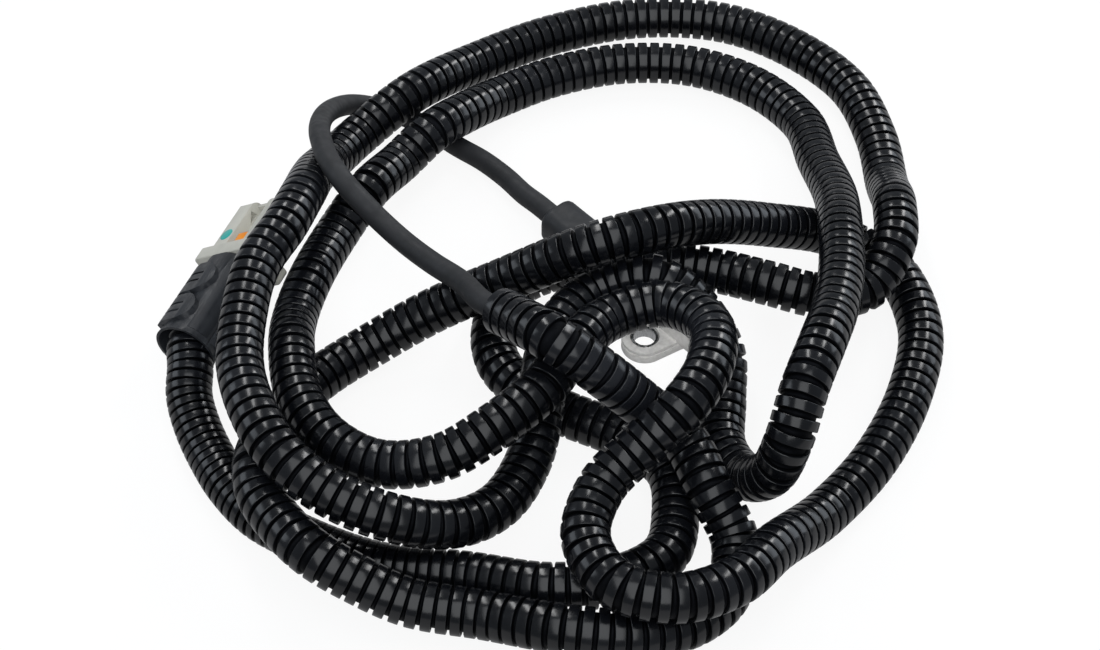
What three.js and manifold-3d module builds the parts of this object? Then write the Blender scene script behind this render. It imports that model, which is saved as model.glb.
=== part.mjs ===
// Wheel speed sensor: a moulded pick-up head with a bolt eye, a short bare cable, a long corrugated
// conduit and a two-way plug. Millimetres, +Z up. The origin is the middle of the head's footprint,
// on the surface it lies on; +X runs along the head from the cable end to the sensing tip.
import * as THREE from 'three';
import { mergeVertices } from 'three/addons/utils/BufferGeometryUtils.js';
import Module from 'manifold-3d';

const wasm = await Module();
wasm.setup();

// clearances between pieces that touch in the real sensor
const GAP = 0.3;

// sensor head, along its own axis
const BACK_L = 24; // thick rear block, with a slimmer neck in front of it
const CAP_L = 2.5; // closed end
const BACK_W = 13;
const BACK_H = 12;
const NECK_W = 10.6;
const NECK_H = 11.2;
const PROBE_D = 11.6; // metal tube over the probe
const LAP_L = 3; // the neck's spigot in that tube
const LAP_D = 10.2;
const BLOCK_ROUND = 4.2; // corner radius of the moulded block
const EDGE_ROUND = 1.8;

// metal bolt eye, one piece with the probe's tube
const EYE_BACK = 50.6; // from the rear face to the bolt's axis
const EYE_TIP = 15.4; // from the bolt's axis to the sensing tip
const EYE_OUT = 10.8; // from the head's axis to the bolt's axis
const EYE_R = 6.7;
const EYE_H = 4.5;
const EYE_ROOT = 17; // width where the eye leaves the tube
const EYE_GROOVE_AT = 2.7; // groove round the eye's edge, from its seat
const EYE_GROOVE_W = 0.55;
const EYE_GROOVE_DEEP = 0.8;
const TUBE_BACK = 4; // the tube reaches this far behind the eye
const BOLT_D = 6.5; // clearance hole for an M6 bolt
const SLEEVE_D = 8; // steel sleeve in the eye
const SLEEVE_LOW = 0.3; // its upper end lies below the eye's face

// pick-up inside the head
const PICKUP_D = 8; // bore that holds the coil and the magnet
const PICKUP_L = 36;
const PASSAGE_D = 5.4; // way for the two cores
const SOCKET_D = 9.4; // rear socket of the cable grommet
const SOCKET_L = 10;
const CAP_PLUG_L = 3;
const POLE_D = 2.6;
const POLE_L = 20;
const BOBBIN_L = 15;
const BOBBIN_WALL = 0.7;
const COIL_D = 6.8;
const MAGNET_L = 6;
const MAGNET_D = 5.6;
const TERMINAL_W = 1.6;
const TERMINAL_T = 0.5;
const TERMINAL_L = 6;
const CORE_D = 1.4;
const CORE_PITCH = 2.6;

// cable and conduit
const CABLE_D = 6.5;
const CABLE_SIDES = 8;
const CABLE_STRAIGHT = 7; // straight run out of the head and out of the conduit
const CONDUIT_D = 13;
const CONDUIT_SIDES = 10;
const CONDUIT_SEAT = 10; // length held inside the plug's backshell

// plug: where it lies, then its sizes along its own axis from the mouth of the backshell
const PLUG_AT = [-61, -107.5, 14];
const PLUG_HEADING = 116; // degrees from +X
const PLUG_ROLL = -35; // degrees about its own axis
const SHELL_L = 28;
const SHELL_W = 17.6;
const SHELL_H = 16;
const SHELL_ROUND = 7;
const SHELL_BORE_D = 12.4; // inside, in front of the conduit's seat
const LIP_L = 4;
const LIP_D = 17.4;
const LIP_MOUTH_D = 15.4; // the mouth is flared around the conduit
const PAD_RISE = 1.1; // raised snap pads
const PAD_L = 10;
const PAD_REACH = 12;
const PAD_FIRST = 6.2;
const PAD_PITCH = 11;
const SLIT_W = 0.9;
const SLIT_PITCH = 3;
const SLIT_L = 5.5;
const FLANGE_L = 5;
const FLANGE_W = 24.4;
const FLANGE_H = 15.6;
const BLOCK_L = 21; // ivory housing in front of the flange
const BLOCK_W = 20;
const BLOCK_H = 12.5;
const NOSE_ROUND = 3; // rounded top front edge of the two rails
const CHANNEL_W = 7.4;
const CHANNEL_DEEP = 3.8;
const CHANNEL_BACK = 1.2; // where the channel starts, in front of the flange
const ARM_W = 5;
const ARM_T = 1.3;
const ARM_L = 12;
const LOCK_L = 3.6;
const LOCK_W = 5.6;
const WAY_PITCH = 6; // distance between the two terminals
const SEAL_D = 4.6;
const SEAL_L = 6;
const LEAD_D = 1.8;
const CONTACT_W = 2;
const CONTACT_L = 12;
const CONTACT_DEEP = 1.5; // from the mating face to the contacts' tips
const ENTRY_W = 1.2; // pin entries in the mating face

// Route of the conduit from the plug to its open end, a list chosen by hand.
const CONDUIT_ROUTE = [
  [-54, -113, 12.5], [-48, -118, 10.5], [-39, -122, 8.5], [-28, -125, 7], [-17, -127, 7],
  [-5, -127, 7], [6, -124, 7], [28, -114, 7], [48, -98, 8], [66, -86, 11], [76, -72, 11],
  [78, -56, 9], [70, -44, 7], [58, -35, 7], [42, -36, 7], [20, -44, 7], [0, -45, 7], [-13, -36, 7],
  [-19, -21, 8], [-11, -8, 13], [3, -1, 19.2], [12, 9, 20.3], [23, 18, 19.5], [36, 25, 20],
  [48, 33, 19], [55, 46, 18], [51, 61, 22], [40, 74, 20], [26, 88, 9], [9, 102, 7], [-12, 112, 7],
  [-37, 112, 7], [-60, 104, 7], [-80, 85, 7], [-93, 59, 7], [-98, 31, 9], [-96, 2, 15],
  [-95, -20, 12], [-91, -32, 14], [-83, -45, 22], [-71, -58, 31.5], [-62, -71, 35], [-55, -86, 35],
  [-44, -99, 34], [-31, -110, 33.5], [-16, -117, 34], [-1, -120, 33], [14, -117, 29],
  [29, -108, 24], [38, -95, 18], [40, -81, 15], [35, -66, 15], [26, -53, 19], [16, -42, 22],
  [9, -30, 23], [8, -16, 24.5], [17, -3, 28], [28, 2, 23], [41, 2, 13], [51, -7, 8], [62, -18, 7],
  [75, -23, 11], [84, -23, 22], [85, -19, 34], [80, -9, 42], [73, 5, 43], [65, 19, 39],
  [54, 34, 35], [42, 47, 31], [27, 62, 23], [9, 75, 15], [-10, 88, 9], [-32, 90, 7], [-52, 82, 7],
  [-68, 66, 7], [-78, 46, 7], [-82, 26, 8], [-80, 10, 13], [-78, -4, 16], [-77, -18, 13],
  [-72, -34, 16], [-66, -52, 13], [-55, -70, 15.8], [-47, -81, 16], [-35, -91, 21],
  [-18, -101, 23], [-1, -104, 24], [14, -99, 24], [25, -87, 27], [29, -72, 31], [29, -55, 33],
  [24, -39, 33], [22, -23, 31], [30, -10, 33], [46, -10, 38], [58, -22, 42], [63, -36, 42],
  [62, -50, 36], [62, -64, 31], [70, -77, 29], [85, -81, 29], [98, -72, 28], [103, -56, 25],
  [100, -38, 19], [97, -14, 9], [93, 10, 7], [84, 34, 7], [70, 54, 7], [49, 65, 7], [30, 61, 8.5],
  [20, 41, 20], [15, 22, 31], [12, 6, 38], [7, -8, 39.5], [1, -18, 36.5], [-11, -33, 26],
  [-23, -50, 15.5], [-30, -69, 8], [-31, -86, 7], [-27, -101, 9], [-20, -112, 13.5],
  [-10, -122, 20.3], [-2, -127, 20.7], [8, -129, 21.5], [23, -129, 22], [35, -124, 18],
  [47, -117, 14], [62, -105, 13], [80, -94, 16], [93, -81, 15], [99, -66, 12], [97, -51, 9],
  [88, -40, 11], [75, -37, 18], [61, -33, 22], [49, -38, 31], [38, -45, 42], [27, -50, 48],
  [14, -50, 44], [6, -50, 41],
];
// Route of the bare cable from the conduit's open end to the head.
const CABLE_ROUTE = [
  [-14.9, -46.1, 32], [-27.7, -45.7, 28.5], [-39.8, -45.7, 27], [-49.9, -46.1, 28],
  [-57.7, -47.3, 31.5], [-65.1, -47.7, 34.3], [-73.9, -45.9, 35], [-83.1, -41.7, 33.5],
  [-92.9, -35, 28], [-100.6, -27.3, 22], [-106.1, -18.9, 15.5], [-108.6, -11.6, 10],
  [-107.5, -5.5, 6], [-100.2, 0.2, 4], [-88.9, 3.1, 4], [-77.1, 4.6, 4], [-67.3, 6.4, 4],
  [-56.7, 6.6, 4.5], [-47.4, 5.8, 5],
];

const rad = THREE.MathUtils.degToRad;

// Closed geometry to a solid that can be joined and cut.
function solid(geometry) {
  const bare = geometry.clone();
  bare.deleteAttribute('normal');
  bare.deleteAttribute('uv');
  const merged = mergeVertices(bare, 1e-4);
  const from = merged.index.array;
  const corners = merged.attributes.position;
  const at = [0, 1, 2].map(() => new THREE.Vector3());
  const kept = [];
  let volume = 0;
  for (let i = 0; i < from.length; i += 3) {
    const [a, b, c] = [from[i], from[i + 1], from[i + 2]];
    if (a === b || b === c || c === a) continue;
    [a, b, c].forEach((corner, k) => at[k].fromBufferAttribute(corners, corner));
    volume += at[0].dot(at[1].cross(at[2]));
    kept.push(a, b, c);
  }
  if (volume < 0) kept.reverse();
  return new wasm.Manifold(new wasm.Mesh({
    numProp: 3, vertProperties: corners.array, triVerts: new Uint32Array(kept),
  }));
}

function join(...solids) {
  return solids.reduce((all, one) => all.add(one));
}

function cut(body, ...tools) {
  return tools.reduce((left, tool) => left.subtract(tool), body);
}

// Rounded rectangle around the axis: w across (Y), h upright (Z).
function block(w, h, round) {
  const x = w / 2;
  const y = h / 2;
  const r = Math.min(round, x * 0.98, y * 0.98);
  const shape = new THREE.Shape();
  shape.absarc(x - r, y - r, r, 0, Math.PI / 2);
  shape.absarc(r - x, y - r, r, Math.PI / 2, Math.PI);
  shape.absarc(r - x, r - y, r, Math.PI, Math.PI * 1.5);
  shape.absarc(x - r, r - y, r, Math.PI * 1.5, Math.PI * 2);
  return shape;
}

const ALONG_X = new THREE.Matrix4().makeBasis(
  new THREE.Vector3(0, 1, 0), new THREE.Vector3(0, 0, 1), new THREE.Vector3(1, 0, 0));
const ALONG_Y = new THREE.Matrix4().makeBasis(
  new THREE.Vector3(1, 0, 0), new THREE.Vector3(0, 0, 1), new THREE.Vector3(0, -1, 0));

// A section pushed from one place to another along X, with its end edges rounded if asked.
function bar(section, from, to, round = 0, segments = 5) {
  const shape = new THREE.ExtrudeGeometry(section, {
    depth: to - from - 2 * round, curveSegments: segments, steps: 1,
    bevelEnabled: round > 0, bevelThickness: round, bevelSize: round, bevelOffset: -round,
    bevelSegments: 3,
  });
  shape.translate(0, 0, from + round);
  return solid(shape.applyMatrix4(ALONG_X));
}

// A side view (X, Z) pushed across, centred on Y.
function slab(outline, width, y = 0, segments = 6) {
  const shape = new THREE.ExtrudeGeometry(outline, {
    depth: width, curveSegments: segments, bevelEnabled: false,
  });
  shape.translate(0, 0, -y - width / 2);
  return solid(shape.applyMatrix4(ALONG_Y));
}

// A plan view (X, Y) pushed up from one height to another.
function plate(outline, low, high, round = 0, segments = 12) {
  const shape = new THREE.ExtrudeGeometry(outline, {
    depth: high - low - 2 * round, curveSegments: segments, bevelEnabled: round > 0,
    bevelThickness: round, bevelSize: round, bevelOffset: -round, bevelSegments: 2,
  });
  shape.translate(0, 0, low + round);
  return solid(shape);
}

// A round piece about X from [place, radius] pairs; the profile closes on the axis or on itself.
function turned(profile, sides = 24) {
  const shape = new THREE.LatheGeometry(profile.map(([x, r]) => new THREE.Vector2(r, x)), sides);
  return solid(shape.rotateZ(-Math.PI / 2));
}

function rod(from, to, d, sides = 24) {
  return turned([[from, 0], [from, d / 2], [to, d / 2], [to, 0]], sides);
}

function ring(from, to, outer, inner, sides = 24) {
  return turned([
    [from, inner / 2], [from, outer / 2], [to, outer / 2], [to, inner / 2], [from, inner / 2],
  ], sides);
}

function brick(x0, x1, w, z0, z1, y = 0) {
  const shape = new THREE.BoxGeometry(x1 - x0, w, z1 - z0);
  return solid(shape.translate((x0 + x1) / 2, y, (z0 + z1) / 2));
}

function outline(points) {
  return new THREE.Shape(points.map(([x, y]) => new THREE.Vector2(x, y)));
}

function upright(body, x, y) {
  return body.rotate([0, -90, 0]).translate([x, y, 0]);
}

function part(name, body, colour, roughness, metalness = 0) {
  const cutMesh = body.getMesh();
  const geometry = new THREE.BufferGeometry();
  geometry.setAttribute('position', new THREE.BufferAttribute(cutMesh.vertProperties, 3));
  geometry.setIndex(new THREE.BufferAttribute(cutMesh.triVerts, 1));
  geometry.computeVertexNormals();
  const finish = new THREE.MeshStandardMaterial({ color: colour, roughness, metalness });
  const mesh = new THREE.Mesh(geometry, finish);
  mesh.name = name;
  return mesh;
}

const BLACK = 0x1b1d20;
const CHARCOAL = 0x2b2e35;
const IVORY = 0xc8c8bc;
const STEEL = 0x8f9296;
const BRASS = 0xb39a5a;
const RUBBER = 0x26282b;

const sensor = new THREE.Group();

// head: moulded rear block and neck, metal tube with its bolt eye, closed nose
const HEAD_L = EYE_BACK + EYE_TIP;
const REAR = -HEAD_L / 2;
const TIP = HEAD_L / 2;
const CAP_AT = TIP - CAP_L;
const EYE_X = REAR + EYE_BACK;
const TUBE_AT = EYE_X - EYE_R - TUBE_BACK;
const AXIS_Z = BACK_H / 2;
const HEAD_Y = (EYE_OUT + EYE_R - BACK_W / 2) / 2;
const PICKUP_AT = CAP_AT - PICKUP_L;
const SOCKET_AT = REAR + SOCKET_L;

const head = new THREE.Group();
head.position.set(0, HEAD_Y, AXIS_Z);
sensor.add(head);

const spigot = rod(TUBE_AT - 1, TUBE_AT + LAP_L - GAP, LAP_D - 2 * GAP);
head.add(part('sensor_body', cut(
  join(
    bar(block(BACK_W, BACK_H, BLOCK_ROUND), REAR, REAR + BACK_L, EDGE_ROUND),
    bar(block(NECK_W, NECK_H, BLOCK_ROUND), REAR + BACK_L - 2 * EDGE_ROUND, TUBE_AT - GAP),
    spigot,
  ),
  rod(PICKUP_AT, TIP, PICKUP_D),
  rod(SOCKET_AT - 1, PICKUP_AT + 1, PASSAGE_D, 16),
  rod(REAR - 1, SOCKET_AT, SOCKET_D),
), BLACK, 0.62));

// Plan of the bolt eye: two straight sides that run tangent into the round end.
function eyePlan(inset) {
  const r = EYE_R - inset;
  const root = new THREE.Vector2(EYE_ROOT / 2 - inset, EYE_OUT - PROBE_D / 4);
  const turn = Math.atan2(root.x, root.y) - Math.asin(r / root.length());
  const plan = new THREE.Shape();
  plan.moveTo(EYE_X + root.x, root.y - EYE_OUT);
  plan.lineTo(EYE_X - root.x, root.y - EYE_OUT);
  plan.absarc(EYE_X, -EYE_OUT, r, Math.PI + turn, Math.PI * 2 - turn);
  return plan;
}

const grooveAt = EYE_GROOVE_AT - AXIS_Z;
const grooveTop = grooveAt + EYE_GROOVE_W;
const eyeTop = EYE_H - AXIS_Z;
head.add(part('probe_shell', cut(
  join(
    rod(TUBE_AT, CAP_AT - GAP, PROBE_D, 32),
    plate(eyePlan(0), -AXIS_Z, grooveAt),
    plate(eyePlan(EYE_GROOVE_DEEP), grooveAt - 0.5, grooveTop + 0.5),
    plate(eyePlan(0), grooveTop, eyeTop),
  ),
  upright(rod(-AXIS_Z - 1, eyeTop + 1, SLEEVE_D + 2 * GAP), EYE_X, -EYE_OUT),
  rod(TUBE_AT - 1, TIP, PICKUP_D),
  rod(TUBE_AT - 1, TUBE_AT + LAP_L, LAP_D),
), 0x9a968e, 0.45, 0.7));
head.add(part('bush_sleeve', upright(
  ring(-AXIS_Z, eyeTop - SLEEVE_LOW, SLEEVE_D, BOLT_D), EYE_X, -EYE_OUT), STEEL, 0.4, 0.9));

// closed nose with its plug, then the pick-up behind it
const plugD = PICKUP_D - 2 * GAP;
const poleTip = CAP_AT - CAP_PLUG_L - GAP;
const poleEnd = poleTip - POLE_L;
head.add(part('nose_cap', turned([
  [CAP_AT - CAP_PLUG_L, 0], [CAP_AT - CAP_PLUG_L, plugD / 2], [CAP_AT, plugD / 2],
  [CAP_AT, PROBE_D / 2], [TIP - 0.8, PROBE_D / 2], [TIP, PROBE_D / 2 - 0.8], [TIP, 0],
]), BLACK, 0.55));
head.add(part('pole_pin', rod(poleEnd, poleTip, POLE_D, 16), STEEL, 0.4, 0.9));
const bobbinBack = poleTip - 1 - BOBBIN_L;
const bobbinD = PICKUP_D - 2 * GAP;
const spoolD = POLE_D + 2 * GAP + 2 * BOBBIN_WALL;
const spoolFront = bobbinBack + BOBBIN_L - BOBBIN_WALL;
head.add(part('coil_bobbin', turned([
  [bobbinBack, POLE_D / 2 + GAP], [bobbinBack, bobbinD / 2], [bobbinBack + BOBBIN_WALL, bobbinD / 2],
  [bobbinBack + BOBBIN_WALL, spoolD / 2], [spoolFront, spoolD / 2], [spoolFront, bobbinD / 2],
  [spoolFront + BOBBIN_WALL, bobbinD / 2], [spoolFront + BOBBIN_WALL, POLE_D / 2 + GAP],
  [bobbinBack, POLE_D / 2 + GAP],
], 20), 0xd8d2c0, 0.6));
head.add(part('coil_winding', ring(bobbinBack + BOBBIN_WALL + GAP, spoolFront - GAP, COIL_D,
  spoolD + 2 * GAP, 20), 0x9a4b22, 0.4, 0.7));
const magnetFront = poleEnd - GAP;
const magnetBack = magnetFront - MAGNET_L;
head.add(part('magnet', rod(magnetBack, magnetFront, MAGNET_D, 20), 0x55585c, 0.5, 0.6));

// terminals behind the magnet, cores back to the jacket, grommet around it
const jacketFront = SOCKET_AT - GAP;
const terminalFront = magnetBack - GAP;
const terminalBack = terminalFront - TERMINAL_L;
for (const [side, y] of [['left', CORE_PITCH / 2], ['right', -CORE_PITCH / 2]]) {
  head.add(part(`head_terminal_${side}`, brick(terminalBack, terminalFront, TERMINAL_W,
    -TERMINAL_T / 2, TERMINAL_T / 2, y), BRASS, 0.35, 0.9));
  head.add(part(`head_core_${side}`, rod(jacketFront + GAP, terminalBack - GAP, CORE_D, 10)
    .translate([0, y, 0]), side === 'left' ? 0xb8b8b0 : 0x3a3c40, 0.5));
}
head.add(part('cable_jacket_end', rod(REAR, jacketFront, CABLE_D, 20), RUBBER, 0.7));
head.add(part('cable_grommet', ring(REAR, jacketFront, SOCKET_D - 2 * GAP, CABLE_D + 2 * GAP),
  RUBBER, 0.85));

// cable and conduit
// The tubes step from one chosen point to the next.
class Route extends THREE.CatmullRomCurve3 {
  getUtoTmapping(u) {
    return u;
  }
}

function tube(points, d, sides) {
  const section = new THREE.Shape();
  section.absarc(0, 0, d / 2, 0, Math.PI * 2);
  const path = new Route(points.map((p) => new THREE.Vector3(...p)), false, 'centripetal');
  return solid(new THREE.ExtrudeGeometry(section, {
    steps: points.length - 1, curveSegments: sides / 2, extrudePath: path,
  }));
}

// A point past the end of a route, straight on from its last stretch.
function past(route, distance) {
  const [before, end] = route.slice(-2).map((p) => new THREE.Vector3(...p));
  return end.clone().add(end.clone().sub(before).setLength(distance)).toArray();
}

const plug = new THREE.Group();
plug.position.set(...PLUG_AT);
plug.rotation.set(rad(PLUG_ROLL), 0, rad(PLUG_HEADING), 'ZXY');
sensor.add(plug);
const plugWay = new THREE.Vector3(CONDUIT_SEAT, 0, 0).applyEuler(plug.rotation);
const seat = new THREE.Vector3(...PLUG_AT).add(plugWay).toArray();

sensor.add(part('conduit', tube([seat, PLUG_AT, ...CONDUIT_ROUTE], CONDUIT_D, CONDUIT_SIDES),
  0x101114, 0.3));
sensor.add(part('cable', tube([
  past(CONDUIT_ROUTE, GAP), past(CONDUIT_ROUTE, GAP + CABLE_STRAIGHT), ...CABLE_ROUTE,
  [REAR - GAP - CABLE_STRAIGHT, HEAD_Y, AXIS_Z], [REAR - GAP, HEAD_Y, AXIS_Z],
], CABLE_D, CABLE_SIDES), 0x2a2b2d, 0.75));

// plug
const FLANGE_AT = SHELL_L;
const BLOCK_AT = FLANGE_AT + FLANGE_L;
const FACE = BLOCK_AT + BLOCK_L;
const shellFront = SHELL_L - GAP;
const BORE_END = CONDUIT_SEAT + GAP;

// backshell: rounded tube with a flared mouth and two raised pads that wrap its shoulder
const shellOuter = bar(block(SHELL_W, SHELL_H, SHELL_ROUND), LIP_L - 1, shellFront, EDGE_ROUND, 8);
const padSkin = bar(block(SHELL_W + 2 * PAD_RISE, SHELL_H + 2 * PAD_RISE, SHELL_ROUND + PAD_RISE),
  LIP_L, shellFront, 0, 8);

function padPlan(start) {
  const r = PAD_L / 2;
  const edge = SHELL_W / 2 + PAD_RISE;
  const plan = new THREE.Shape();
  plan.moveTo(start + PAD_L, edge);
  plan.lineTo(start, edge);
  plan.absarc(start + r, edge - PAD_REACH + r, r, Math.PI, Math.PI * 2);
  return plan;
}

const padStarts = [PAD_FIRST, PAD_FIRST + PAD_PITCH];
const pads = padStarts.map((start) => plate(padPlan(start), 0, SHELL_H).intersect(padSkin));
const slitFloor = bar(block(SHELL_W - 0.6, SHELL_H - 0.6, SHELL_ROUND), 0, SHELL_L, 0, 8);
const slits = padStarts.flatMap((start) => [-0.5, 0.5].map((step) => {
  const x = start + PAD_L / 2 + step * SLIT_PITCH;
  const reach = brick(x - SLIT_W / 2, x + SLIT_W / 2, SLIT_L, SHELL_H / 4, SHELL_H,
    SHELL_W / 2 - SLIT_L / 2);
  return cut(reach, slitFloor);
}));
const mouth = turned([
  [0, 0], [0, LIP_D / 2 - 0.5], [0.5, LIP_D / 2], [LIP_L - 1, LIP_D / 2],
  [LIP_L + 1, LIP_D / 2 - 0.8], [LIP_L + 1, 0],
], 32);
const mouthBore = turned([
  [-1, 0], [-1, LIP_MOUTH_D / 2 + 0.6], [0, LIP_MOUTH_D / 2], [LIP_L, CONDUIT_D / 2 + GAP],
  [BORE_END, CONDUIT_D / 2 + GAP], [BORE_END, SHELL_BORE_D / 2], [SHELL_L + 1, SHELL_BORE_D / 2],
  [SHELL_L + 1, 0],
], 32);
const backshell = cut(join(shellOuter, mouth, ...pads), mouthBore, ...slits);
const half = 2 * SHELL_W;
plug.add(part('backshell_upper', backshell.intersect(brick(-2, SHELL_L + 2, half, GAP / 2, half)),
  CHARCOAL, 0.5));
plug.add(part('backshell_lower', backshell.intersect(brick(-2, SHELL_L + 2, half, -half, -GAP / 2)),
  CHARCOAL, 0.5));

// housing: side view with rounded rails, cut by the latch channel and the two contact ways
function railView() {
  const top = BLOCK_H / 2;
  const view = new THREE.Shape();
  view.moveTo(BLOCK_AT - 1, -top);
  view.lineTo(FACE - 1, -top);
  view.lineTo(FACE, 1 - top);
  view.lineTo(FACE, top - NOSE_ROUND);
  view.absarc(FACE - NOSE_ROUND, top - NOSE_ROUND, NOSE_ROUND, 0, Math.PI / 2);
  view.lineTo(BLOCK_AT - 1, top);
  return view;
}

const floorZ = BLOCK_H / 2 - CHANNEL_DEEP;
const channelAt = BLOCK_AT + CHANNEL_BACK;
const skirtD = SHELL_BORE_D - 2 * GAP;
const skirtAt = shellFront - 4;
const armAt = FACE - 1.5;
const arm = slab(outline([
  [armAt, floorZ - 0.5], [armAt, floorZ + 1 + ARM_T], [armAt - ARM_L, floorZ + 1.6 + ARM_T],
  [armAt - ARM_L, floorZ + 1.6], [armAt - 2, floorZ + 1], [armAt - 2, floorZ - 0.5],
]), ARM_W);
const windowAt = FACE - 8;
const railWindow = slab(outline([
  [windowAt, floorZ + 0.4], [windowAt + 4.5, floorZ + 0.4], [windowAt + 3.4, floorZ + 2.8],
]), 3, CHANNEL_W / 2 + 0.5);
const ways = [-0.5, 0.5].flatMap((step) => {
  const y = step * WAY_PITCH;
  const contactBack = FACE - CONTACT_DEEP - CONTACT_L - 2 * GAP;
  return [
    rod(skirtAt - 1, contactBack, SEAL_D + 2 * GAP, 20).translate([0, y, 0]),
    brick(contactBack - 1, FACE - CONTACT_DEEP + GAP, CONTACT_W + 2 * GAP,
      -CONTACT_W / 2 - GAP, CONTACT_W / 2 + GAP, y),
    brick(FACE - CONTACT_DEEP, FACE + 1, ENTRY_W, -ENTRY_W / 2, ENTRY_W / 2, y),
  ];
});
const housing = join(
  bar(block(BLOCK_W, BLOCK_H, 1), BLOCK_AT - 1, FACE).intersect(slab(railView(), BLOCK_W)),
  bar(block(FLANGE_W, FLANGE_H, 1.4), FLANGE_AT, BLOCK_AT, 0.5),
  rod(skirtAt, FLANGE_AT + 1, skirtD, 32),
);
plug.add(part('plug_housing', join(
  cut(housing, brick(channelAt, FACE + 1, CHANNEL_W, floorZ, BLOCK_H), railWindow, ...ways),
  arm,
), IVORY, 0.5));

// orange lock that stands in the rear of the channel
plug.add(part('secondary_lock', slab(outline([
  [channelAt + GAP, floorZ + GAP], [channelAt + LOCK_L, floorZ + GAP],
  [channelAt + LOCK_L, floorZ + 1.8], [channelAt + LOCK_L + 1.2, floorZ + 3.2],
  [channelAt + GAP, floorZ + 3.2],
]), LOCK_W), 0xe0840c, 0.45));

for (const [side, step] of [['left', 0.5], ['right', -0.5]]) {
  const y = step * WAY_PITCH;
  const contactTip = FACE - CONTACT_DEEP - GAP;
  const sealAt = skirtAt + 0.5;
  plug.add(part(`plug_contact_${side}`, cut(
    brick(contactTip - CONTACT_L, contactTip, CONTACT_W, -CONTACT_W / 2, CONTACT_W / 2, y),
    brick(contactTip - CONTACT_L * 0.6, contactTip + 1, CONTACT_W - 0.7, 0.35 - CONTACT_W / 2,
      CONTACT_W / 2 - 0.35, y),
  ), BRASS, 0.35, 0.9));
  plug.add(part(`wire_seal_${side}`, turned([
    [sealAt, LEAD_D / 2 + GAP], [sealAt, SEAL_D / 2], [sealAt + SEAL_L * 0.2, SEAL_D / 2],
    [sealAt + SEAL_L * 0.3, SEAL_D / 2 - 0.5], [sealAt + SEAL_L * 0.4, SEAL_D / 2],
    [sealAt + SEAL_L * 0.6, SEAL_D / 2], [sealAt + SEAL_L * 0.7, SEAL_D / 2 - 0.5],
    [sealAt + SEAL_L * 0.8, SEAL_D / 2], [sealAt + SEAL_L, SEAL_D / 2],
    [sealAt + SEAL_L, LEAD_D / 2 + GAP], [sealAt, LEAD_D / 2 + GAP],
  ], 20).translate([0, y, 0]), 0x3d6b52, 0.7));
  plug.add(part(`plug_lead_${side}`, rod(BORE_END, contactTip - CONTACT_L - GAP, LEAD_D, 12)
    .translate([0, y, 0]), side === 'left' ? 0xb8b8b0 : 0x3a3c40, 0.5));
}

export default sensor;
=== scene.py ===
import math
import bmesh
import bpy
import numpy as np
from mathutils import Matrix, Vector


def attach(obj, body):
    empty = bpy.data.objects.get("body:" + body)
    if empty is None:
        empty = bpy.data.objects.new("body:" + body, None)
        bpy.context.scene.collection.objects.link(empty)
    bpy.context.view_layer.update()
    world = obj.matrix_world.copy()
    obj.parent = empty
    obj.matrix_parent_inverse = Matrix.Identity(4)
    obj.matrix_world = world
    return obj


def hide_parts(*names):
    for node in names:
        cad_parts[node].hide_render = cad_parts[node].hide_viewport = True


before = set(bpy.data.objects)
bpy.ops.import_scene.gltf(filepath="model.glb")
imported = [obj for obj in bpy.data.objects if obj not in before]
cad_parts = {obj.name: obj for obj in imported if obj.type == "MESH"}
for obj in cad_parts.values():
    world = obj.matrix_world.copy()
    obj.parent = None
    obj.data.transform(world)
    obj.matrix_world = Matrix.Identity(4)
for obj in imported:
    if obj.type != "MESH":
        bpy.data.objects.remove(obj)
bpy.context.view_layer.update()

MM = 0.001  # sizes named in capitals are in millimetres, unless a comment says metres

# Camera, in metres. RIGHT, AWAY and UP are the photograph's directions, turned by 48 degrees, and
# the camera looks down at 50 degrees.
TARGET = Vector((0.0029, -0.0288, 0.015))
TOWARDS_CAMERA = Vector((0.4777, -0.4301, 0.7660)).normalized()
CAMERA_DISTANCE = 0.606
RIGHT = Vector((0.6691, 0.7431, 0))
AWAY = Vector((-0.7431, 0.6691, 0))
UP = Vector((0, 0, 1))
LENS = 70.04
SENSOR_WIDTH = 36
camera_data = bpy.data.cameras.new("camera")
camera_data.lens = LENS
camera_data.sensor_width = SENSOR_WIDTH
camera = bpy.data.objects.new("camera", camera_data)
bpy.context.scene.collection.objects.link(camera)
camera.location = TARGET + TOWARDS_CAMERA * CAMERA_DISTANCE
camera.rotation_euler = (-TOWARDS_CAMERA).to_track_quat("-Z", "Y").to_euler()
bpy.context.scene.camera = camera

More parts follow.
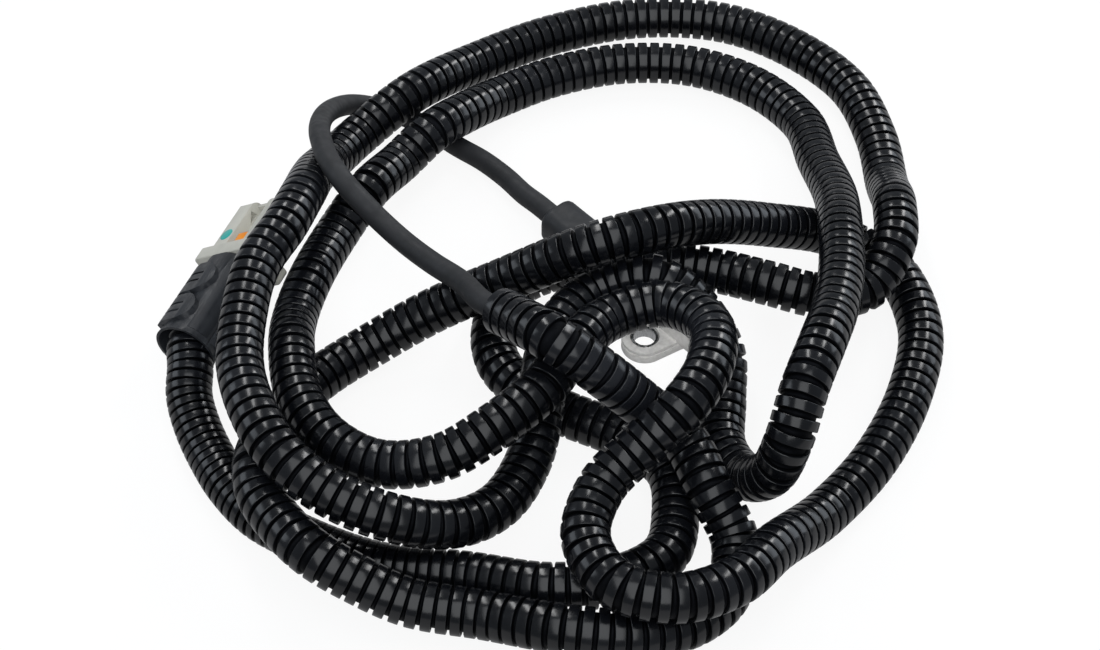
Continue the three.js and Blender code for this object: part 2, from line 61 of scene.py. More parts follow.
# The conduit's route from the plug to its open end, then the bare cable's from there to the head.
PLUG_AT = np.array([-61, -107.5, 14]) * MM  # metres
PLUG_HEADING = math.radians(116)
PLUG_ROLL = math.radians(-35)
PLUG_WAY = np.array([math.cos(PLUG_HEADING), math.sin(PLUG_HEADING), 0])
CONDUIT_SEAT = 10
CONDUIT_MM = [
    (-54, -113, 12.5), (-48, -118, 10.5), (-39, -122, 8.5), (-28, -125, 7), (-17, -127, 7),
    (-5, -127, 7), (6, -124, 7), (28, -114, 7), (48, -98, 8), (66, -86, 11), (76, -72, 11),
    (78, -56, 9), (70, -44, 7), (58, -35, 7), (42, -36, 7), (20, -44, 7), (0, -45, 7),
    (-13, -36, 7), (-19, -21, 8), (-11, -8, 13), (3, -1, 19.2), (12, 9, 20.3), (23, 18, 19.5),
    (36, 25, 20), (48, 33, 19), (55, 46, 18), (51, 61, 22), (40, 74, 20), (26, 88, 9), (9, 102, 7),
    (-12, 112, 7), (-37, 112, 7), (-60, 104, 7), (-80, 85, 7), (-93, 59, 7), (-98, 31, 9),
    (-96, 2, 15), (-95, -20, 12), (-91, -32, 14), (-83, -45, 22), (-71, -58, 31.5), (-62, -71, 35),
    (-55, -86, 35), (-44, -99, 34), (-31, -110, 33.5), (-16, -117, 34), (-1, -120, 33),
    (14, -117, 29), (29, -108, 24), (38, -95, 18), (40, -81, 15), (35, -66, 15), (26, -53, 19),
    (16, -42, 22), (9, -30, 23), (8, -16, 24.5), (17, -3, 28), (28, 2, 23), (41, 2, 13),
    (51, -7, 8), (62, -18, 7), (75, -23, 11), (84, -23, 22), (85, -19, 34), (80, -9, 42),
    (73, 5, 43), (65, 19, 39), (54, 34, 35), (42, 47, 31), (27, 62, 23), (9, 75, 15), (-10, 88, 9),
    (-32, 90, 7), (-52, 82, 7), (-68, 66, 7), (-78, 46, 7), (-82, 26, 8), (-80, 10, 13),
    (-78, -4, 16), (-77, -18, 13), (-72, -34, 16), (-66, -52, 13), (-55, -70, 15.8),
    (-47, -81, 16), (-35, -91, 21), (-18, -101, 23), (-1, -104, 24), (14, -99, 24), (25, -87, 27),
    (29, -72, 31), (29, -55, 33), (24, -39, 33), (22, -23, 31), (30, -10, 33), (46, -10, 38),
    (58, -22, 42), (63, -36, 42), (62, -50, 36), (62, -64, 31), (70, -77, 29), (85, -81, 29),
    (98, -72, 28), (103, -56, 25), (100, -38, 19), (97, -14, 9), (93, 10, 7), (84, 34, 7),
    (70, 54, 7), (49, 65, 7), (30, 61, 8.5), (20, 41, 20), (15, 22, 31), (12, 6, 38),
    (7, -8, 39.5), (1, -18, 36.5), (-11, -33, 26), (-23, -50, 15.5), (-30, -69, 8), (-31, -86, 7),
    (-27, -101, 9), (-20, -112, 13.5), (-10, -122, 20.3), (-2, -127, 20.7), (8, -129, 21.5),
    (23, -129, 22), (35, -124, 18), (47, -117, 14), (62, -105, 13), (80, -94, 16), (93, -81, 15),
    (99, -66, 12), (97, -51, 9), (88, -40, 11), (75, -37, 18), (61, -33, 22), (49, -38, 31),
    (38, -45, 42), (27, -50, 48), (14, -50, 44), (6, -50, 41),
]
CABLE_MM = [
    (-14.9, -46.1, 32), (-27.7, -45.7, 28.5), (-39.8, -45.7, 27), (-49.9, -46.1, 28),
    (-57.7, -47.3, 31.5), (-65.1, -47.7, 34.3), (-73.9, -45.9, 35), (-83.1, -41.7, 33.5),
    (-92.9, -35, 28), (-100.6, -27.3, 22), (-106.1, -18.9, 15.5), (-108.6, -11.6, 10),
    (-107.5, -5.5, 6), (-100.2, 0.2, 4), (-88.9, 3.1, 4), (-77.1, 4.6, 4), (-67.3, 6.4, 4),
    (-56.7, 6.6, 4.5), (-47.4, 5.8, 5), (-40.3, 5.5, 6), (-33.3, 5.5, 6),
]
CABLE_D = 6.5
CABLE_SIDES = 28
CABLE_RING_EVERY = 1.2
CABLE_IN_CONDUIT = 8
CABLE_STRAIGHT = 7.3
LINE_STEP = 0.5
SAMPLES_PER_SPAN = 40


def smooth_line(points, step):
    """Centripetal spline through the points, with a point every step, and its length."""
    p = np.array(points, float)
    p = np.vstack([2 * p[0] - p[1], p, 2 * p[-1] - p[-2]])
    out = []
    for i in range(1, len(p) - 2):
        p0, p1, p2, p3 = p[i - 1:i + 3]
        gaps = [np.linalg.norm(b - a) ** 0.5 for a, b in ((p0, p1), (p1, p2), (p2, p3))]
        t0, t1, t2, t3 = np.cumsum([0, *gaps])
        u = np.linspace(t1, t2, SAMPLES_PER_SPAN, endpoint=False)[:, None]
        a1 = (t1 - u) / (t1 - t0) * p0 + (u - t0) / (t1 - t0) * p1
        a2 = (t2 - u) / (t2 - t1) * p1 + (u - t1) / (t2 - t1) * p2
        a3 = (t3 - u) / (t3 - t2) * p2 + (u - t2) / (t3 - t2) * p3
        b1 = (t2 - u) / (t2 - t0) * a1 + (u - t0) / (t2 - t0) * a2
        b2 = (t3 - u) / (t3 - t1) * a2 + (u - t1) / (t3 - t1) * a3
        out.append((t2 - u) / (t2 - t1) * b1 + (u - t1) / (t2 - t1) * b2)
    line = np.vstack([*out, p[-2][None]])
    run = np.r_[0, np.cumsum(np.linalg.norm(np.diff(line, axis=0), axis=1))]
    at = np.linspace(0, run[-1], int(round(run[-1] / step)) + 1)
    return np.stack([np.interp(at, run, line[:, k]) for k in range(3)], 1), run[-1]


def unit(rows):
    """The rows, each as long as 1."""
    return rows / np.linalg.norm(rows, axis=1)[:, None]


class Path:
    """A line with a frame that doesn't twist, read at any length along it."""

    def __init__(self, points):
        step = LINE_STEP * MM
        self.line, self.length = smooth_line(points, step)
        self.at = np.linspace(0, self.length, len(self.line))
        self.way = unit(np.gradient(self.line, axis=0))
        self.side = np.zeros_like(self.way)
        side = np.cross(self.way[0], (0, 0, 1.0))
        for i, way in enumerate(self.way):
            side = side - way * (side @ way)
            side = side / np.linalg.norm(side)
            self.side[i] = side
        reach = 8  # line steps on each side, over which the bend is measured
        self.bend = np.zeros_like(self.way)
        self.bend[reach:-reach] = (self.way[2 * reach:] - self.way[:-2 * reach]) / (2 * reach * step)

    def read(self, table, s):
        """A table of the line's own, read at lengths s."""
        return np.stack([np.interp(s, self.at, table[:, k]) for k in range(3)], 1)

    def sections(self, s, sides):
        """Middles, ways along the line, and unit vectors outwards, (places, sides, 3)."""
        way = unit(self.read(self.way, s))
        side = self.read(self.side, s)
        side = unit(side - way * np.sum(side * way, 1)[:, None])
        up = np.cross(way, side)
        turn = np.linspace(0, 2 * math.pi, sides, endpoint=False)[None, :, None]
        return self.read(self.line, s), way, side[:, None] * np.cos(turn) + up[:, None] * np.sin(turn)


def add_object(name, mesh):
    """A new object that belongs to the sensor's one body."""
    obj = bpy.data.objects.new(name, mesh)
    bpy.context.scene.collection.objects.link(obj)
    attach(obj, "root")
    return obj


def nodes(*names):
    """CAD solids that are shown as they are."""
    return [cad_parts[name] for name in names]


def tube_mesh(name, rings, normals=None):
    """A closed tube over rings (count, sides, 3), with each strip's own normals if they are given."""
    count, sides, _ = rings.shape
    i, j = np.meshgrid(np.arange(count - 1), np.arange(sides), indexing="ij")
    k = (j + 1) % sides
    quads = np.stack([i * sides + j, i * sides + k, (i + 1) * sides + k, (i + 1) * sides + j], -1)
    faces = [tuple(face) for face in quads.reshape(-1, 4).tolist()]
    faces.append(tuple(range(sides - 1, -1, -1)))
    faces.append(tuple(range((count - 1) * sides, count * sides)))
    mesh = bpy.data.meshes.new(name)
    mesh.from_pydata(rings.reshape(-1, 3).tolist(), [], faces)
    mesh.polygons.foreach_set("use_smooth", [True] * len(faces))
    mesh.update()
    if normals is not None:
        corners = np.stack([normals[i, 0, j], normals[i, 0, k], normals[i, 1, k], normals[i, 1, j]], -2)
        ends = np.zeros((2 * sides, 3))
        mesh.normals_split_custom_set(np.vstack([corners.reshape(-1, 3), ends]).tolist())
        mesh.update()
    return mesh


# Corrugated conduit. It is pushed together near the plug, so its ridges are closer there.
PITCH = 3.8
PITCH_AT_PLUG = 2.7
PUSHED_TO = 95  # from the plug
PUSHED_OUT = 150
CONDUIT_SIDES = 24
# one ridge: place, radius, and the slope of its surface before and after, in degrees
RIDGE = [
    (-1.43, 5.15, -50, -86),
    (-1.39, 6.32, -84, -60),
    (-1.23, 6.48, -26, -5),
    (1.23, 6.48, 5, 26),
    (1.39, 6.32, 60, 84),
    (1.43, 5.15, 86, 50),
]
GROOVE_R = 5.6  # what lies deeper is groove
INNER_R = 4.55
OPEN_DEPTH = 9
SQUEEZE = 0.92  # share of a bend's shortening that the ridges on its inner side take up


def ridge_places(length):
    """Where the ridges' middles are, and how far each one is pushed together."""
    s = np.arange(0, length, LINE_STEP * MM)
    ease = np.clip((s / MM - PUSHED_TO) / (PUSHED_OUT - PUSHED_TO), 0, 1)
    pitch = PITCH_AT_PLUG + (PITCH - PITCH_AT_PLUG) * ease * ease * (3 - 2 * ease)
    number = np.r_[0, np.cumsum(LINE_STEP / pitch[:-1])]
    count = int(number[-1])
    middles = np.interp((np.arange(count) + 0.5) * number[-1] / count, number, s)
    return middles, np.interp(middles, s, pitch) / PITCH


def build_conduit():
    """The conduit with every ridge, open and hollow at its far end."""
    seat = PLUG_AT / MM + PLUG_WAY * CONDUIT_SEAT
    path = Path(np.array([tuple(seat), tuple(PLUG_AT / MM), *CONDUIT_MM]) * MM)
    middles, push = ridge_places(path.length)
    centre, way, out = path.sections(middles, CONDUIT_SIDES)
    bend = path.read(path.bend, middles)
    inward = np.clip(np.einsum("kij,kj->ki", out, bend), 0, None)
    rings, before, after = [], [], []
    for place, radius, slope_in, slope_out in RIDGE:
        along = place * MM * push[:, None] * (1 - SQUEEZE * inward * radius * MM)
        rings.append(centre[:, None] + way[:, None] * along[:, :, None] + out * (radius * MM))
        for slopes, slope in ((before, slope_in), (after, slope_out)):
            tilt = math.radians(slope)
            slopes.append(out * math.cos(tilt) + way[:, None] * math.sin(tilt))
    rings, before, after = (
        np.stack(rows, 1).reshape(-1, CONDUIT_SIDES, 3) for rows in (rings, before, after))
    strips = np.stack([after[:-1], before[1:]], 1)
    # the open end: over the cut edge, then back along the inner wall
    last, axis = out[-1], way[-1]
    lip = rings[-1].mean(0) + last * (INNER_R * MM)
    rings = np.concatenate([rings, [lip, lip - axis * (OPEN_DEPTH * MM)]])
    face = np.broadcast_to(axis, last.shape)
    strips = np.concatenate([strips, [[face, face], [-last, -last]]])
    mesh = tube_mesh("conduit_ridged", rings, strips)
    # crown is 1 on the ridges' crowns and 0 in the grooves, where the conduit's material paints shade
    crown = [float(radius > GROOVE_R) for _, radius, _, _ in RIDGE]
    crown = np.repeat(crown * len(middles) + [0, 0], CONDUIT_SIDES)
    mesh.attributes.new("crown", "FLOAT", "POINT").data.foreach_set("value", crown)
    return add_object("conduit_ridged", mesh), path


def build_cable(conduit_path):
    """The bare cable, from inside the conduit's open end to the head."""
    end = conduit_path.line[-1] / MM
    way = conduit_path.way[-1]
    start = [tuple(end - way * CABLE_IN_CONDUIT), tuple(end), tuple(end + way * CABLE_STRAIGHT)]
    path = Path(np.array(start + CABLE_MM) * MM)
    s = np.linspace(0, path.length, int(path.length / (CABLE_RING_EVERY * MM)))
    centre, _, out = path.sections(s, CABLE_SIDES)
    rings = centre[:, None] + out * (CABLE_D / 2 * MM)
    return add_object("cable_jacket", tube_mesh("cable_jacket", rings)), path


conduit, conduit_path = build_conduit()
cable, cable_path = build_cable(conduit_path)
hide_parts("conduit")
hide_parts("cable")


# Moulded and metal pieces of the head
SAME_POINT = 1e-6  # metres
FLAT_WITHIN = math.radians(1)
SMOOTH_UP_TO = math.radians(32)


def merged(node, name):
    """A copy of a CAD solid with its loose triangles joined into flat faces."""
    bm = bmesh.new()
    bm.from_mesh(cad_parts[node].data)
    bmesh.ops.remove_doubles(bm, verts=bm.verts, dist=SAME_POINT)
    bmesh.ops.dissolve_limit(bm, angle_limit=FLAT_WITHIN, verts=bm.verts, edges=bm.edges)
    mesh = bpy.data.meshes.new(name)
    bm.to_mesh(mesh)
    bm.free()
    return add_object(name, mesh)


def rounded(obj, radius, angle=28):
    """Rounds the edges of a finished form that are sharper than angle, and smooths its faces."""
    bevel = obj.modifiers.new("rounding", "BEVEL")
    bevel.width = radius
    bevel.segments = 2
    bevel.limit_method = "ANGLE"
    bevel.angle_limit = math.radians(angle)
    bpy.ops.object.select_all(action="DESELECT")
    bpy.context.view_layer.objects.active = obj
    obj.select_set(True)
    bpy.ops.object.modifier_apply(modifier="rounding")
    bpy.ops.object.shade_smooth_by_angle(angle=SMOOTH_UP_TO)
    return obj


def dressed(node, name, rounding):
    """A CAD solid with its edges rounded, in the solid's place."""
    obj = rounded(merged(node, name), rounding * MM)
    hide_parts(node)
    return obj


head_body = dressed("sensor_body", "head_moulding", rounding=0.3)
head_nose = dressed("nose_cap", "head_nose", rounding=0.15)
sleeve = dressed("bush_sleeve", "eye_sleeve", rounding=0.2)
tube = dressed("probe_shell", "eye_and_tube", rounding=0.15)

# Plug. Its pieces are made in its own directions, in millimetres, and then moved to its place.
PLUG_PLACE = (Matrix.Translation(Vector(PLUG_AT)) @ Matrix.Rotation(PLUG_HEADING, 4, "Z")
              @ Matrix.Rotation(PLUG_ROLL, 4, "X") @ Matrix.Scale(MM, 4))
ALONG_X = (0, math.pi / 2, 0)
DRUM_SIDES = 64
ROUND_STEPS = 10
SHELL_FROM, SHELL_TO = -1.5, 27.7
SHELL_WIDE, SHELL_HIGH, SHELL_ROUND = 17.6, 16.0, 7
SEAM = 0.2  # between the backshell's halves
BELL_FROM, BELL_TO = -3.4, 2.1
BELL_R, BELL_NECK_R = 9.1, 8.4
FLARE_FROM, FLARE_TO, FLARE_R = -3.5, 2.5, 8.3  # the bell's mouth
BORE_R, SEAT_R, SEAT_TO = 6.2, 6.75, 10.3
# How far the cutting forms reach past the backshell. The edge rounding follows from it, so they stay.
SEAT_FROM = -6
BORE_FROM, BORE_TO = -13, 37
HALF_FROM, HALF_TO, HALF_WIDE, HALF_HIGH = -20, 50, 40, 20
PADS = [(-0.4, 9.8), (11.0, 22.6)]  # the two snap pads, from and to
PAD_RISE, PAD_FLAT, PAD_TIP, PAD_TALL = 1.6, 6.5, -5.6, 12
SLIT_WIDE, SLIT_LONG, SLIT_DEEP, SLIT_Z = 0.8, 7.6, 3, 9
SLITS = (-1.5, 1.5)  # from the pad's middle
SLIT_END = 0.1
CHANNEL_FROM, CHANNEL_TO, CHANNEL_WIDE = 34.3, 51.2, 6.6
CHANNEL_FLOOR, CHANNEL_TOP = 2.5, 8.5
LOCK_FROM, LOCK_TO, LOCK_WIDE, LOCK_HIGH = 34.5, 38.4, 4.1, 2.1
LOCK_Y, LOCK_Z, LOCK_LEDGE, LOCK_STEM = -1.2, 4.95, 0.5, 1.2
MARK_R, MARK_THICK, MARK_AT = 2.2, 0.14, (39.0, 6.5, 6.26)


def always(element):
    """Picks every face or edge."""
    return True


def edit(obj, operator, kind="FACE", pick=always, **settings):
    """Runs one edit-mode operator on the faces or edges that pick chooses."""
    bpy.ops.object.select_all(action="DESELECT")
    bpy.context.view_layer.objects.active = obj
    obj.select_set(True)
    bpy.context.tool_settings.mesh_select_mode = (False, kind == "EDGE", kind == "FACE")
    obj.data.vertices.foreach_set("select", [False] * len(obj.data.vertices))
    for edge in obj.data.edges:
        edge.select = kind == "EDGE" and pick(edge)
    for face in obj.data.polygons:
        face.select = kind == "FACE" and pick(face)
    bpy.ops.object.mode_set(mode="EDIT")
    operator(**settings)
    bpy.ops.object.mode_set(mode="OBJECT")


def box(x0, x1, wide, high, y=0.0, z=0.0):
    """A block from x0 to x1, its middle at y and z."""
    bpy.ops.object.select_all(action="DESELECT")
    bpy.ops.mesh.primitive_cube_add(size=1, location=((x0 + x1) / 2, y, z))
    obj = bpy.context.active_object
    obj.scale = (x1 - x0, wide, high)
    bpy.ops.object.transform_apply(location=True, rotation=True, scale=True)
    return obj


def drum(radius, length, at, turn=(0, 0, 0), end_radius=None):
    """A cylinder, or a cone with end_radius at its far end."""
    bpy.ops.object.select_all(action="DESELECT")
    bpy.ops.mesh.primitive_cone_add(
        vertices=DRUM_SIDES, radius1=radius, radius2=radius if end_radius is None else end_radius,
        depth=length, location=at, rotation=turn)
    bpy.ops.object.transform_apply(location=True, rotation=True, scale=True)
    return bpy.context.active_object


def turned(x0, x1, radius, end_radius=None):
    """A round bar or a cone along the plug, from x0 to x1."""
    return drum(radius, x1 - x0, ((x0 + x1) / 2, 0, 0), ALONG_X, end_radius)


def combine(obj, operation, *others):
    """Applies one boolean after another, and uses the other objects up."""
    for other in others:
        modifier = obj.modifiers.new("combine", "BOOLEAN")
        modifier.operation = operation
        modifier.solver = "EXACT"
        modifier.object = other
        bpy.context.view_layer.objects.active = obj
        bpy.ops.object.modifier_apply(modifier=modifier.name)
        bpy.data.objects.remove(other)
    return obj


def plug_piece(obj, name, rounding):
    """Rounds a finished form's edges, moves it to the plug's place, and adds it to the sensor."""
    obj.name = obj.data.name = name
    rounded(obj, rounding, 35)
    obj.data.transform(PLUG_PLACE)
    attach(obj, "root")
    return obj


def rounded_bar(x0, x1, wide, high, radius):
    """A bar along the plug with its four long edges rounded."""
    obj = box(x0, x1, wide, high)
    points = obj.data.vertices

    def lengthwise(edge):
        a, b = (points[i].co for i in edge.vertices)
        return abs(a.x - b.x) > 1

    edit(obj, bpy.ops.mesh.bevel, "EDGE", lengthwise, offset=radius, segments=ROUND_STEPS)
    return obj


def snap_pad(x0, x1):
    """A pad with one flat end and one round end, which follows the backshell's shoulder."""
    radius = (x1 - x0) / 2
    middle = (x0 + x1) / 2
    turn = PAD_TIP + radius
    plan = box(x0, x1, PAD_FLAT - turn, PAD_TALL, (PAD_FLAT + turn) / 2, PAD_TALL / 2)
    combine(plan, "UNION", drum(radius, PAD_TALL, (middle, turn, PAD_TALL / 2)))
    skin = rounded_bar(SHELL_FROM, SHELL_TO, SHELL_WIDE + 2 * PAD_RISE, SHELL_HIGH + 2 * PAD_RISE,
                       SHELL_ROUND + PAD_RISE)
    slit_y = PAD_FLAT - SLIT_END - SLIT_LONG / 2
    slits = [box(middle + place - SLIT_WIDE / 2, middle + place + SLIT_WIDE / 2, SLIT_LONG,
                 SLIT_DEEP, slit_y, SLIT_Z) for place in SLITS]
    return combine(combine(plan, "INTERSECT", skin), "DIFFERENCE", *slits)


def build_backshell():
    """The backshell's two halves, with the seat and the bore that the conduit goes into."""
    shell = rounded_bar(SHELL_FROM, SHELL_TO, SHELL_WIDE, SHELL_HIGH, SHELL_ROUND)
    bell = turned(BELL_FROM, BELL_TO, BELL_R, BELL_NECK_R)
    combine(shell, "UNION", bell, *[snap_pad(*pad) for pad in PADS])
    flare = turned(FLARE_FROM, FLARE_TO, FLARE_R, SEAT_R)
    seat = turned(SEAT_FROM, SEAT_TO, SEAT_R)
    bore = turned(BORE_FROM, BORE_TO, BORE_R)
    combine(shell, "DIFFERENCE", flare, seat, bore)
    halves = []
    for name, side in (("backshell_top", 1), ("backshell_base", -1)):
        half = shell.copy()
        half.data = shell.data.copy()
        bpy.context.scene.collection.objects.link(half)
        kept = box(HALF_FROM, HALF_TO, HALF_WIDE, HALF_HIGH, 0, side * (HALF_HIGH + SEAM) / 2)
        combine(half, "INTERSECT", kept)
        halves.append(plug_piece(half, name, rounding=0.3))
    bpy.data.objects.remove(shell)
    return halves


def build_block():
    """The ivory block, with its channel cleared behind the front bar."""
    obj = merged("plug_housing", "plug_block")
    channel = box(CHANNEL_FROM, CHANNEL_TO, CHANNEL_WIDE, CHANNEL_TOP - CHANNEL_FLOOR, 0,
                  (CHANNEL_FLOOR + CHANNEL_TOP) / 2)
    channel.data.transform(PLUG_PLACE)
    combine(obj, "DIFFERENCE", channel)
    return rounded(obj, 0.2 * MM)


def build_lock():
    """Orange lock: a tab on a narrower stem that goes down into the channel."""
    obj = box(LOCK_FROM, LOCK_TO, LOCK_WIDE, LOCK_HIGH, LOCK_Y, LOCK_Z)
    middle = Vector(((LOCK_FROM + LOCK_TO) / 2, LOCK_Y))

    def underside(face):
        return face.normal.z < -0.9

    def stem(face):
        return underside(face) and (face.center.xy - middle).length < 0.1

    edit(obj, bpy.ops.mesh.inset, "FACE", underside, thickness=LOCK_LEDGE)
    edit(obj, bpy.ops.mesh.extrude_region_move, "FACE", stem,
         TRANSFORM_OT_translate={"value": (0, 0, -LOCK_STEM)})
    return plug_piece(obj, "orange_lock", rounding=0.15)


def build_mark():
    """Paint mark on the left rail."""
    obj = drum(MARK_R, MARK_THICK, MARK_AT)
    return plug_piece(obj, "paint_mark", rounding=0.05)


backshell_top, backshell_base = build_backshell()
housing = build_block()
lock = build_lock()
mark = build_mark()
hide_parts("backshell_upper")
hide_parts("backshell_lower")
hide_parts("plug_housing")
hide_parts("secondary_lock")


# Materials
PLASTIC_IOR = 1.48
GLOSS_SPREAD = 0.07


class Flow:
    """A socket with arithmetic, so that shader maths reads as Python does."""

    def __init__(self, finish, socket):
        self.finish = finish
        self.socket = socket

    def maths(self, operation, *values):
        return self.finish.node("Math", {"operation": operation}, dict(enumerate(values)))

    def __add__(self, other):
        return self.maths("ADD", self, other)

    def __rsub__(self, other):
        return self.maths("SUBTRACT", other, self)

    def __mul__(self, other):
        return self.maths("MULTIPLY", self, other)

    def between(self, low, high):
        """0 below low, 1 above high."""
        return self.finish.node("MapRange", {"interpolation_type": "SMOOTHSTEP"}, {
            "Value": self, "From Min": low, "From Max": high})


class Finish:
    """A node material for one of the sensor's surfaces."""

    def __init__(self, name, **sockets):
        self.material = bpy.data.materials.new(name)
        self.material.use_nodes = True
        self.nodes = self.material.node_tree.nodes
        self.links = self.material.node_tree.links
        self.shader = self.nodes["Principled BSDF"]
        self.feed(self.shader, sockets)
        self.place = self.node("TexCoord", output="Object")

    def feed(self, node, sockets):
        """Links or sets the sockets of a node."""
        for key, value in sockets.items():
            if isinstance(value, Flow):
                self.links.new(value.socket, node.inputs[key])
            else:
                node.inputs[key].default_value = value

    def node(self, kind, settings=(), sockets=None, output=0):
        """Adds a node with its settings first, then its sockets, and gives one of its outputs."""
        node = self.nodes.new("ShaderNode" + kind)
        for key, value in dict(settings).items():
            setattr(node, key, value)
        self.feed(node, sockets or {})
        return Flow(self, node.outputs[output])

    def noise(self, scale, detail, stretch=(1, 1, 1)):
        """Noise over the object's own directions."""
        where = self.node("Mapping", {}, {"Vector": self.place, "Scale": stretch})
        return self.node("TexNoise", {}, {
            "Vector": where, "Scale": scale, "Detail": detail, "Roughness": 0.5})

    def colours(self, mask, low, high):
        """Base colour: low where the mask is 0, high where it is 1."""
        mix = self.node("Mix", {"data_type": "RGBA"}, {0: mask, 6: (*low, 1), 7: (*high, 1)}, output=2)
        self.feed(self.shader, {"Base Color": mix})

    def relief(self, height, depth):
        """Bump from a height of 0 to 1, depth millimetres high."""
        bump = self.node("Bump", {}, {"Height": height, "Distance": depth * MM, "Strength": 1.0})
        self.feed(self.shader, {"Normal": bump})

    def roughness(self, flow):
        """Roughness that varies over the surface."""
        self.feed(self.shader, {"Roughness": flow})

    def on(self, *objects):
        """Makes this the only material of each object."""
        for obj in objects:
            obj.data.materials.clear()
            obj.data.materials.append(self.material)


def moulded(name, low, high, gloss, grain, grain_scale):
    """Moulded plastic: cloudy colour from low to high, uneven roughness and a fine grain."""
    finish = Finish(name, IOR=PLASTIC_IOR)
    finish.colours(finish.noise(110, 5).between(0.32, 0.68), low, high)
    cloud = finish.noise(420, 3).between(0.3, 0.7)
    finish.roughness(cloud * (2 * GLOSS_SPREAD) + (gloss - GLOSS_SPREAD))
    finish.relief(finish.noise(grain_scale, 3) + finish.noise(grain_scale / 5, 2) * 0.6, grain)
    return finish


def ridged():
    """The conduit's glossy black, with painted shade in the grooves: there it is rougher and turns
    metallic with its near-black colour, so it reflects almost nothing.
    """
    finish = Finish("conduit_black", IOR=1.5)
    dust = finish.noise(38, 5).between(0.4, 0.75)
    finish.colours(dust, (0.0035, 0.004, 0.0055), (0.010, 0.011, 0.014))
    crown = finish.node("Attribute", {"attribute_name": "crown"}, output="Fac").between(0.3, 0.95)
    scuff = finish.noise(520, 4, stretch=(1, 1, 3)).between(0.55, 0.8)
    gloss = finish.noise(90, 2).between(0.3, 0.7) * 0.05 + scuff * 0.08 + 0.18
    finish.roughness(gloss + (1 - crown) * 0.4)
    # painted shade: in the grooves the near-black colour turns metallic, so they reflect almost nothing
    finish.feed(finish.shader, {"Metallic": (1 - crown) * 0.9})
    finish.relief(finish.noise(130, 1), 0.008)
    return finish


def metal(name, low, high, gloss, metallic=1.0, stretch=(1, 1, 1)):
    """Metal with a brushed or cast unevenness in colour and gloss."""
    finish = Finish(name, Metallic=metallic)
    brushed = finish.noise(900, 4, stretch=stretch)
    finish.colours(brushed.between(0.3, 0.7), low, high)
    finish.roughness(brushed.between(0.25, 0.75) * 0.16 + (gloss - 0.08))
    finish.relief(brushed, 0.008)
    return finish


ridged().on(conduit)
moulded("cable_rubber", (0.015, 0.016, 0.018), (0.023, 0.024, 0.027), 0.62, 0.02, 2600).on(
    cable, *nodes("cable_jacket_end", "cable_grommet"))
moulded("backshell_charcoal", (0.017, 0.019, 0.023), (0.026, 0.029, 0.034), 0.46, 0.03, 2800).on(
    backshell_top, backshell_base)
moulded("head_black", (0.013, 0.014, 0.016), (0.021, 0.023, 0.027), 0.55, 0.03, 2600).on(
    head_body, head_nose)
moulded("ivory", (0.49, 0.485, 0.43), (0.57, 0.56, 0.50), 0.42, 0.015, 2200).on(housing)
moulded("orange", (0.84, 0.24, 0.003), (0.95, 0.31, 0.005), 0.38, 0.015, 2200).on(lock)
moulded("teal_paint", (0.012, 0.32, 0.29), (0.03, 0.42, 0.38), 0.35, 0.02, 1500).on(mark)
moulded("seal_green", (0.04, 0.12, 0.07), (0.06, 0.18, 0.11), 0.6, 0.01, 2000).on(
    *nodes("wire_seal_left", "wire_seal_right"))
moulded("core_pale", (0.44, 0.44, 0.40), (0.55, 0.55, 0.51), 0.45, 0.01, 2000).on(
    *nodes("head_core_left", "plug_lead_left", "coil_bobbin"))
moulded("core_dark", (0.03, 0.03, 0.04), (0.05, 0.05, 0.06), 0.45, 0.01, 2000).on(
    *nodes("head_core_right", "plug_lead_right"))
metal("steel", (0.40, 0.41, 0.42), (0.55, 0.56, 0.57), 0.3, stretch=(1, 1, 0.1)).on(
    sleeve, *nodes("pole_pin", "magnet"))
metal("cast_eye", (0.68, 0.67, 0.65), (0.80, 0.79, 0.77), 0.46, 0.12).on(tube)
metal("brass", (0.46, 0.33, 0.12), (0.62, 0.46, 0.19), 0.3).on(
    *nodes("head_terminal_left", "head_terminal_right", "plug_contact_left", "plug_contact_right"))
metal("copper", (0.42, 0.14, 0.05), (0.56, 0.21, 0.08), 0.3, stretch=(8, 1, 1)).on(
    *nodes("coil_winding"))

# Floor and light, in metres and watts
FLOOR_SIZE = 12
DAYLIGHT = (0.85, 0.92, 1.0)
EYE_AT = Vector((0.0176, -0.0053, 0.0045))
PLUG_MIDDLE = Vector(PLUG_AT + PLUG_WAY * 40 * MM)


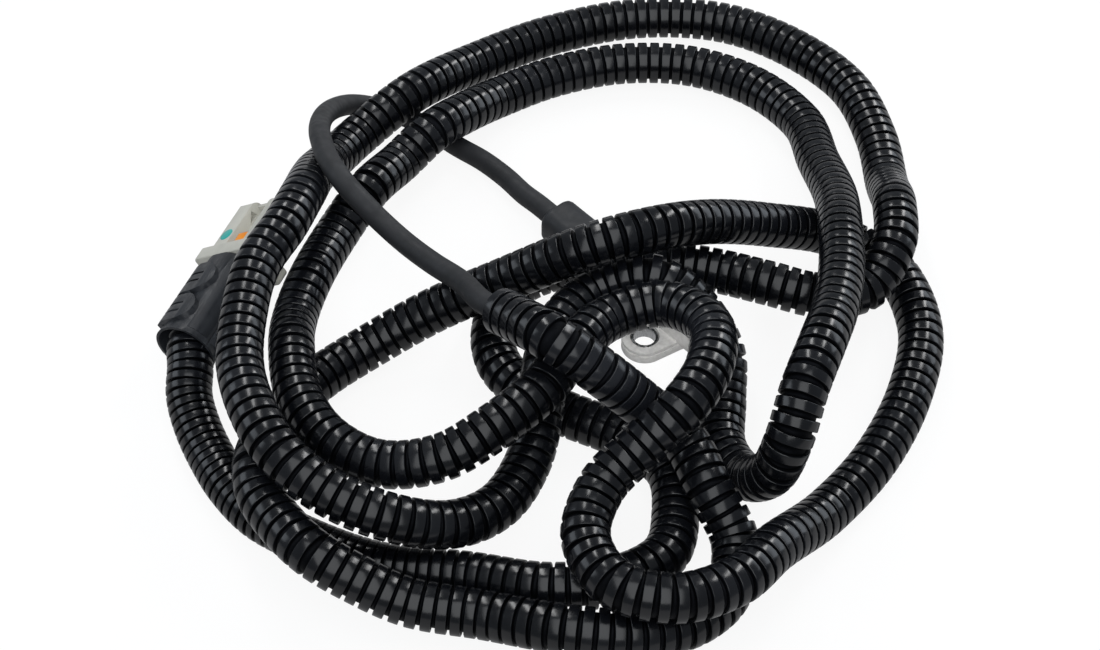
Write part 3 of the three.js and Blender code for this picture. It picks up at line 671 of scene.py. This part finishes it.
def white_floor():
    """A floor that is white to the camera and takes the sensor's soft shadow."""
    bpy.ops.object.select_all(action="DESELECT")
    bpy.ops.mesh.primitive_plane_add(size=FLOOR_SIZE)
    floor = bpy.context.active_object
    floor.name = floor.data.name = "floor"
    pale = Finish("floor")
    seen = pale.node("LightPath", output="Is Camera Ray")
    mirrored = pale.node("LightPath", output="Is Glossy Ray") + pale.node(
        "LightPath", output="Is Transmission Ray")
    matt = pale.node("BsdfDiffuse", {}, {"Color": (0.9, 0.9, 0.9, 1)})
    white = pale.node("Emission", {}, {"Color": (1, 1, 1, 1), "Strength": 1.05})
    paper = pale.node("MixShader", {}, {"Fac": 0.86, 1: matt, 2: white})
    dull = pale.node("BsdfDiffuse", {}, {"Color": (0.25, 0.25, 0.26, 1)})
    surface = pale.node("MixShader", {}, {"Fac": seen + mirrored * 0.4, 1: dull, 2: paper})
    pale.links.new(surface.socket, pale.nodes["Material Output"].inputs["Surface"])
    pale.on(floor)


def softbox(name, right, away, up, wide, deep, watts, colour=(1, 1, 1)):
    """An area lamp at a place given in the photograph's directions, facing the sensor."""
    data = bpy.data.lights.new(name, "AREA")
    data.shape = "RECTANGLE"
    data.size, data.size_y = wide, deep
    data.energy = watts
    data.color = colour
    obj = bpy.data.objects.new(name, data)
    bpy.context.scene.collection.objects.link(obj)
    obj.location = TARGET + RIGHT * right + AWAY * away + UP * up
    back = (obj.location - TARGET).normalized()
    across = (RIGHT - back * RIGHT.dot(back)).normalized()
    obj.rotation_euler = Matrix((across, back.cross(across), back)).transposed().to_euler()


def narrow_lamp(name, aim, degrees, watts):
    """A narrow lamp at the camera that brightens one place and leaves no glint."""
    data = bpy.data.lights.new(name, "SPOT")
    data.spot_size = math.radians(degrees)
    data.spot_blend = 1
    data.shadow_soft_size = 0.01
    data.energy = watts
    obj = bpy.data.objects.new(name, data)
    bpy.context.scene.collection.objects.link(obj)
    obj.location = camera.location
    obj.rotation_euler = (aim - camera.location).to_track_quat("-Z", "Y").to_euler()
    obj.visible_glossy = False


white_floor()
# each lamp's place to the right, away and up from the target, its width and depth, then its watts
softbox("strip_left", -0.26, 0.80, 0.92, 0.17, 0.9, 3.6)
softbox("strip_right", 0.62, 0.80, 0.74, 0.17, 0.9, 4)
softbox("overhead", 0.0, -0.56, 1.06, 0.9, 1.6, 7.5, (0.96, 0.98, 1.0))
softbox("right_wall", 1.0, 0.7, 0.35, 0.9, 0.5, 2.5, DAYLIGHT)
softbox("left_wall", -1.2, 0.2, 0.6, 0.6, 1.0, 3, DAYLIGHT)
narrow_lamp("eye_fill", EYE_AT, 6, 9)
narrow_lamp("plug_fill", PLUG_MIDDLE, 9, 4)

world = bpy.data.worlds.new("studio")
world.use_nodes = True
background = world.node_tree.nodes["Background"]
background.inputs["Color"].default_value = (*DAYLIGHT, 1)
background.inputs["Strength"].default_value = 0.22
bpy.context.scene.world = world
bpy.context.scene.view_settings.view_transform = "Standard"
